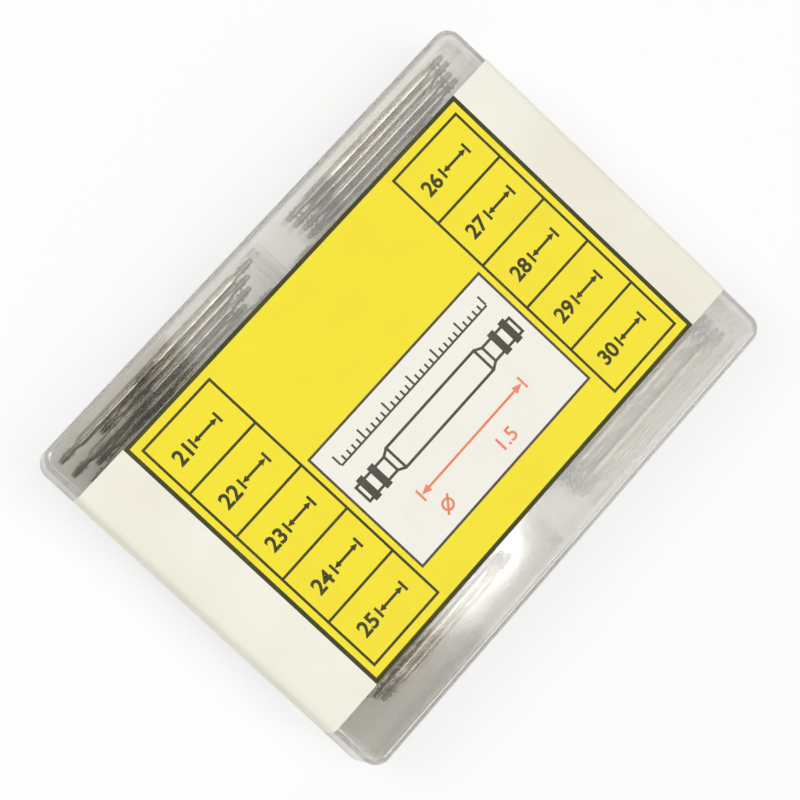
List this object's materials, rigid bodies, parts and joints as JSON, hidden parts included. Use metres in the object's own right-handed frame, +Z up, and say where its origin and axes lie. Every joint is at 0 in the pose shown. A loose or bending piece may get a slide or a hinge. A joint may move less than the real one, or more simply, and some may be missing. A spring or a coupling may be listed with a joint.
{
  "type": "spring bar assortment in a clear case",
  "caption": "Flat clear hinge-less case with a lift-off lid and a paper label, its pockets filled with double-flange sprung watch strap bars in graded lengths.",
  "frame": {"origin": "middle of the case's underside", "axes": "+X along the long side, from the smaller sizes to the larger, +Y across towards the smallest size in each column, +Z up through the lid"},
  "size_m": [0.083, 0.0616, 0.0112],
  "materials": {
    "clear_plastic_tray": "clear moulded polystyrene",
    "clear_plastic_lid": "clear moulded polystyrene",
    "label_paper": "uncoated cream paper, printed",
    "bar_tube_steel": "drawn stainless steel",
    "pin_steel": "turned stainless steel",
    "spring_wire": "drawn spring wire"
  },
  "bodies": {
    "case": {"tray": "clear_plastic_tray", "bar_tubes_21": "bar_tube_steel", "bar_springs_21": "spring_wire", "bar_tubes_22": "bar_tube_steel", "bar_springs_22": "spring_wire", "bar_tubes_23": "bar_tube_steel", "bar_springs_23": "spring_wire", "bar_tubes_24": "bar_tube_steel", "bar_springs_24": "spring_wire", "bar_tubes_25": "bar_tube_steel", "bar_springs_25": "spring_wire", "bar_tubes_26": "bar_tube_steel", "bar_springs_26": "spring_wire", "bar_tubes_27": "bar_tube_steel", "bar_springs_27": "spring_wire", "bar_tubes_28": "bar_tube_steel", "bar_springs_28": "spring_wire", "bar_tubes_29": "bar_tube_steel", "bar_springs_29": "spring_wire", "bar_tubes_30": "bar_tube_steel", "bar_springs_30": "spring_wire"},
    "lid": {"lid": "clear_plastic_lid", "label": "label_paper"},
    "pins_left_21": {"bar_pins_left_21": "pin_steel"},
    "pins_right_21": {"bar_pins_right_21": "pin_steel"},
    "pins_left_22": {"bar_pins_left_22": "pin_steel"},
    "pins_right_22": {"bar_pins_right_22": "pin_steel"},
    "pins_left_23": {"bar_pins_left_23": "pin_steel"},
    "pins_right_23": {"bar_pins_right_23": "pin_steel"},
    "pins_left_24": {"bar_pins_left_24": "pin_steel"},
    "pins_right_24": {"bar_pins_right_24": "pin_steel"},
    "pins_left_25": {"bar_pins_left_25": "pin_steel"},
    "pins_right_25": {"bar_pins_right_25": "pin_steel"},
    "pins_left_26": {"bar_pins_left_26": "pin_steel"},
    "pins_right_26": {"bar_pins_right_26": "pin_steel"},
    "pins_left_27": {"bar_pins_left_27": "pin_steel"},
    "pins_right_27": {"bar_pins_right_27": "pin_steel"},
    "pins_left_28": {"bar_pins_left_28": "pin_steel"},
    "pins_right_28": {"bar_pins_right_28": "pin_steel"},
    "pins_left_29": {"bar_pins_left_29": "pin_steel"},
    "pins_right_29": {"bar_pins_right_29": "pin_steel"},
    "pins_left_30": {"bar_pins_left_30": "pin_steel"},
    "pins_right_30": {"bar_pins_right_30": "pin_steel"}
  },
  "joints": [
    {"name": "lid_lift", "type": "slide", "parent": "case", "child": "lid", "axis": [0, 0, 1], "range_m": [0, 0.03]},
    {"name": "pins_left_21_press", "type": "slide", "parent": "case", "child": "pins_left_21", "axis": [1, 0, 0], "range_m": [0, 0.0011], "stiffness_N_per_m": 800, "springref_m": -0.0006, "deforming": ["bar_springs_21"]},
    {"name": "pins_right_21_press", "type": "slide", "parent": "case", "child": "pins_right_21", "axis": [-1, 0, 0], "range_m": [0, 0.0011], "stiffness_N_per_m": 800, "springref_m": -0.0006, "deforming": ["bar_springs_21"]},
    {"name": "pins_left_22_press", "type": "slide", "parent": "case", "child": "pins_left_22", "axis": [1, 0, 0], "range_m": [0, 0.0011], "stiffness_N_per_m": 800, "springref_m": -0.0006, "deforming": ["bar_springs_22"]},
    {"name": "pins_right_22_press", "type": "slide", "parent": "case", "child": "pins_right_22", "axis": [-1, 0, 0], "range_m": [0, 0.0011], "stiffness_N_per_m": 800, "springref_m": -0.0006, "deforming": ["bar_springs_22"]},
    {"name": "pins_left_23_press", "type": "slide", "parent": "case", "child": "pins_left_23", "axis": [1, 0, 0], "range_m": [0, 0.0011], "stiffness_N_per_m": 800, "springref_m": -0.0006, "deforming": ["bar_springs_23"]},
    {"name": "pins_right_23_press", "type": "slide", "parent": "case", "child": "pins_right_23", "axis": [-1, 0, 0], "range_m": [0, 0.0011], "stiffness_N_per_m": 800, "springref_m": -0.0006, "deforming": ["bar_springs_23"]},
    {"name": "pins_left_24_press", "type": "slide", "parent": "case", "child": "pins_left_24", "axis": [1, 0, 0], "range_m": [0, 0.0011], "stiffness_N_per_m": 800, "springref_m": -0.0006, "deforming": ["bar_springs_24"]},
    {"name": "pins_right_24_press", "type": "slide", "parent": "case", "child": "pins_right_24", "axis": [-1, 0, 0], "range_m": [0, 0.0011], "stiffness_N_per_m": 800, "springref_m": -0.0006, "deforming": ["bar_springs_24"]},
    {"name": "pins_left_25_press", "type": "slide", "parent": "case", "child": "pins_left_25", "axis": [1, 0, 0], "range_m": [0, 0.0011], "stiffness_N_per_m": 800, "springref_m": -0.0006, "deforming": ["bar_springs_25"]},
    {"name": "pins_right_25_press", "type": "slide", "parent": "case", "child": "pins_right_25", "axis": [-1, 0, 0], "range_m": [0, 0.0011], "stiffness_N_per_m": 800, "springref_m": -0.0006, "deforming": ["bar_springs_25"]},
    {"name": "pins_left_26_press", "type": "slide", "parent": "case", "child": "pins_left_26", "axis": [1, 0, 0], "range_m": [0, 0.0011], "stiffness_N_per_m": 800, "springref_m": -0.0006, "deforming": ["bar_springs_26"]},
    {"name": "pins_right_26_press", "type": "slide", "parent": "case", "child": "pins_right_26", "axis": [-1, 0, 0], "range_m": [0, 0.0011], "stiffness_N_per_m": 800, "springref_m": -0.0006, "deforming": ["bar_springs_26"]},
    {"name": "pins_left_27_press", "type": "slide", "parent": "case", "child": "pins_left_27", "axis": [1, 0, 0], "range_m": [0, 0.0011], "stiffness_N_per_m": 800, "springref_m": -0.0006, "deforming": ["bar_springs_27"]},
    {"name": "pins_right_27_press", "type": "slide", "parent": "case", "child": "pins_right_27", "axis": [-1, 0, 0], "range_m": [0, 0.0011], "stiffness_N_per_m": 800, "springref_m": -0.0006, "deforming": ["bar_springs_27"]},
    {"name": "pins_left_28_press", "type": "slide", "parent": "case", "child": "pins_left_28", "axis": [1, 0, 0], "range_m": [0, 0.0011], "stiffness_N_per_m": 800, "springref_m": -0.0006, "deforming": ["bar_springs_28"]},
    {"name": "pins_right_28_press", "type": "slide", "parent": "case", "child": "pins_right_28", "axis": [-1, 0, 0], "range_m": [0, 0.0011], "stiffness_N_per_m": 800, "springref_m": -0.0006, "deforming": ["bar_springs_28"]},
    {"name": "pins_left_29_press", "type": "slide", "parent": "case", "child": "pins_left_29", "axis": [1, 0, 0], "range_m": [0, 0.0011], "stiffness_N_per_m": 800, "springref_m": -0.0006, "deforming": ["bar_springs_29"]},
    {"name": "pins_right_29_press", "type": "slide", "parent": "case", "child": "pins_right_29", "axis": [-1, 0, 0], "range_m": [0, 0.0011], "stiffness_N_per_m": 800, "springref_m": -0.0006, "deforming": ["bar_springs_29"]},
    {"name": "pins_left_30_press", "type": "slide", "parent": "case", "child": "pins_left_30", "axis": [1, 0, 0], "range_m": [0, 0.0011], "stiffness_N_per_m": 800, "springref_m": -0.0006, "deforming": ["bar_springs_30"]},
    {"name": "pins_right_30_press", "type": "slide", "parent": "case", "child": "pins_right_30", "axis": [-1, 0, 0], "range_m": [0, 0.0011], "stiffness_N_per_m": 800, "springref_m": -0.0006, "deforming": ["bar_springs_30"]}
  ]
}
